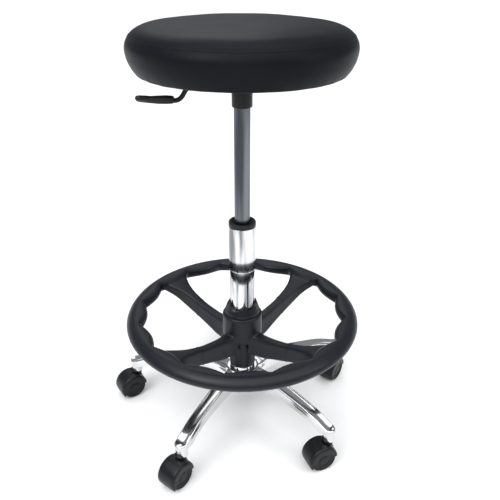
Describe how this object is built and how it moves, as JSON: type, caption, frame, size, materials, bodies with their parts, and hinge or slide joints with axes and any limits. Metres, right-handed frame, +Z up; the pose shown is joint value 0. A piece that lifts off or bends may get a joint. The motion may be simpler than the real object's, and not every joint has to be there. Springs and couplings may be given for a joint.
{
  "type": "pedicure stool",
  "caption": "Height-adjustable pedicure stool with a round padded swivel seat, gas spring, release lever, foot ring, star base and hooded casters.",
  "frame": {"origin": "the floor under the middle of the bounding box, seat raised to its top stop; the column axis is at x = +21.7 mm, y = -11.2 mm, because the casters trail to one side", "axes": "+Z up along the column; the release lever points to -X; -Y is the front, the side the picture is taken from"},
  "size_m": [0.5029, 0.5193, 0.763],
  "materials": {
    "vinyl": "matt-satin black upholstery vinyl with a fine grain",
    "foam": "moulded polyurethane foam, hidden under the cover",
    "plywood": "raw pressed plywood",
    "dust_fabric": "black non-woven dust cover",
    "black_steel": "black powder-coated steel",
    "grey_steel": "satin grey plated steel tube",
    "plain_steel": "bright zinc-plated steel",
    "chrome": "mirror chrome plate",
    "polished_aluminium": "polished cast aluminium",
    "black_nylon": "satin black moulded nylon",
    "rubber": "matt black rubber"
  },
  "bodies": {
    "root": {"star_base": "polished_aluminium", "column_tube": "chrome", "fluted_column": "chrome", "guide_bush": "black_nylon", "column_end_plate": "plain_steel", "thrust_washer_lower": "plain_steel", "thrust_ball_cage": "plain_steel", "caster_1_stem": "plain_steel", "caster_2_stem": "plain_steel", "caster_3_stem": "plain_steel", "caster_4_stem": "plain_steel", "caster_5_stem": "plain_steel"},
    "spindle": {"piston_rod": "plain_steel", "piston": "black_nylon", "thrust_washer_upper": "plain_steel", "rubber_buffer": "rubber", "retaining_clip": "plain_steel"},
    "seat": {"gas_cylinder": "grey_steel", "rod_guide_seal": "rubber", "receiver_tube": "black_steel", "seat_plate": "black_steel", "seat_board": "plywood", "seat_foam": "foam", "seat_cover": "vinyl", "dust_cover": "dust_fabric", "lever_pivot_pin": "plain_steel", "seat_bolt_1": "plain_steel", "seat_bolt_2": "plain_steel", "seat_bolt_3": "plain_steel", "seat_bolt_4": "plain_steel"},
    "lever": {"lever_rod": "black_steel", "lever_paddle": "black_nylon"},
    "release_pin": {"release_pin": "plain_steel"},
    "ring_collet": {"ring_collet": "black_nylon"},
    "foot_ring": {"foot_ring": "black_nylon"},
    "caster_1": {"caster_1_hood": "black_nylon", "caster_1_axle": "plain_steel"},
    "caster_1_left": {"caster_1_wheel_left": "black_nylon"},
    "caster_1_right": {"caster_1_wheel_right": "black_nylon"},
    "caster_2": {"caster_2_hood": "black_nylon", "caster_2_axle": "plain_steel"},
    "caster_2_left": {"caster_2_wheel_left": "black_nylon"},
    "caster_2_right": {"caster_2_wheel_right": "black_nylon"},
    "caster_3": {"caster_3_hood": "black_nylon", "caster_3_axle": "plain_steel"},
    "caster_3_left": {"caster_3_wheel_left": "black_nylon"},
    "caster_3_right": {"caster_3_wheel_right": "black_nylon"},
    "caster_4": {"caster_4_hood": "black_nylon", "caster_4_axle": "plain_steel"},
    "caster_4_left": {"caster_4_wheel_left": "black_nylon"},
    "caster_4_right": {"caster_4_wheel_right": "black_nylon"},
    "caster_5": {"caster_5_hood": "black_nylon", "caster_5_axle": "plain_steel"},
    "caster_5_left": {"caster_5_wheel_left": "black_nylon"},
    "caster_5_right": {"caster_5_wheel_right": "black_nylon"}
  },
  "joints": [
    {"name": "seat_swivel", "type": "hinge", "parent": "root", "child": "spindle", "pos_m": [0.0217, -0.0112, 0.06], "axis": [0, 0, 1], "continuous": true},
    {"name": "seat_height", "type": "slide", "parent": "spindle", "child": "seat", "axis": [0, 0, 1], "range_m": [-0.2, 0]},
    {"name": "lever_pull", "type": "hinge", "parent": "seat", "child": "lever", "pos_m": [-0.0083, -0.0112, 0.676], "axis": [0, 1, 0], "range_deg": [0, 9], "stiffness_Nm_per_rad": 2, "springref_deg": -8.59},
    {"name": "release_pin_press", "type": "slide", "parent": "seat", "child": "release_pin", "axis": [0, 0, 1], "range_m": [-0.006, 0]},
    {"name": "foot_ring_height", "type": "slide", "parent": "root", "child": "ring_collet", "axis": [0, 0, 1], "range_m": [-0.006, 0.06]},
    {"name": "foot_ring_lock", "type": "hinge", "parent": "ring_collet", "child": "foot_ring", "pos_m": [0.0217, -0.0112, 0.2], "axis": [0, 0, 1], "range_deg": [0, 30]},
    {"name": "caster_1_swivel", "type": "hinge", "parent": "root", "child": "caster_1", "pos_m": [0.22822, 0.08775, 0.05], "axis": [0, 0, 1], "continuous": true},
    {"name": "caster_1_left_roll", "type": "hinge", "parent": "caster_1", "child": "caster_1_left", "pos_m": [0.21837, 0.07514, 0.025], "axis": [0.788, -0.6157, 0], "continuous": true},
    {"name": "caster_1_right_roll", "type": "hinge", "parent": "caster_1", "child": "caster_1_right", "pos_m": [0.21837, 0.07514, 0.025], "axis": [0.788, -0.6157, 0], "continuous": true},
    {"name": "caster_2_swivel", "type": "hinge", "parent": "root", "child": "caster_2", "pos_m": [-0.00859, 0.21579, 0.05], "axis": [0, 0, 1], "continuous": true},
    {"name": "caster_2_left_roll", "type": "hinge", "parent": "caster_2", "child": "caster_2_left", "pos_m": [0.00367, 0.22607, 0.025], "axis": [-0.6428, 0.766, 0], "continuous": true},
    {"name": "caster_2_right_roll", "type": "hinge", "parent": "caster_2", "child": "caster_2_right", "pos_m": [0.00367, 0.22607, 0.025], "axis": [-0.6428, 0.766, 0], "continuous": true},
    {"name": "caster_3_swivel", "type": "hinge", "parent": "root", "child": "caster_3", "pos_m": [-0.20354, 0.03014, 0.05], "axis": [0, 0, 1], "continuous": true},
    {"name": "caster_3_left_roll", "type": "hinge", "parent": "caster_3", "child": "caster_3_left", "pos_m": [-0.2168, 0.02119, 0.025], "axis": [0.5592, -0.829, 0], "continuous": true},
    {"name": "caster_3_right_roll", "type": "hinge", "parent": "caster_3", "child": "caster_3_right", "pos_m": [-0.2168, 0.02119, 0.025], "axis": [0.5592, -0.829, 0], "continuous": true},
    {"name": "caster_4_swivel", "type": "hinge", "parent": "root", "child": "caster_4", "pos_m": [-0.08722, -0.21264, 0.05], "axis": [0, 0, 1], "continuous": true},
    {"name": "caster_4_left_roll", "type": "hinge", "parent": "caster_4", "child": "caster_4_left", "pos_m": [-0.09729, -0.22507, 0.025], "axis": [0.7771, -0.6293, 0], "continuous": true},
    {"name": "caster_4_right_roll", "type": "hinge", "parent": "caster_4", "child": "caster_4_right", "pos_m": [-0.09729, -0.22507, 0.025], "axis": [0.7771, -0.6293, 0], "continuous": true},
    {"name": "caster_5_swivel", "type": "hinge", "parent": "root", "child": "caster_5", "pos_m": [0.17962, -0.17703, 0.05], "axis": [0, 0, 1], "continuous": true},
    {"name": "caster_5_left_roll", "type": "hinge", "parent": "caster_5", "child": "caster_5_left", "pos_m": [0.16479, -0.18303, 0.025], "axis": [0.3746, -0.9272, 0], "continuous": true},
    {"name": "caster_5_right_roll", "type": "hinge", "parent": "caster_5", "child": "caster_5_right", "pos_m": [0.16479, -0.18303, 0.025], "axis": [0.3746, -0.9272, 0], "continuous": true}
  ],
  "couplings": [
    {"joint": "release_pin_press", "follows": "lever_pull", "m_per_rad": -0.036}
  ]
}
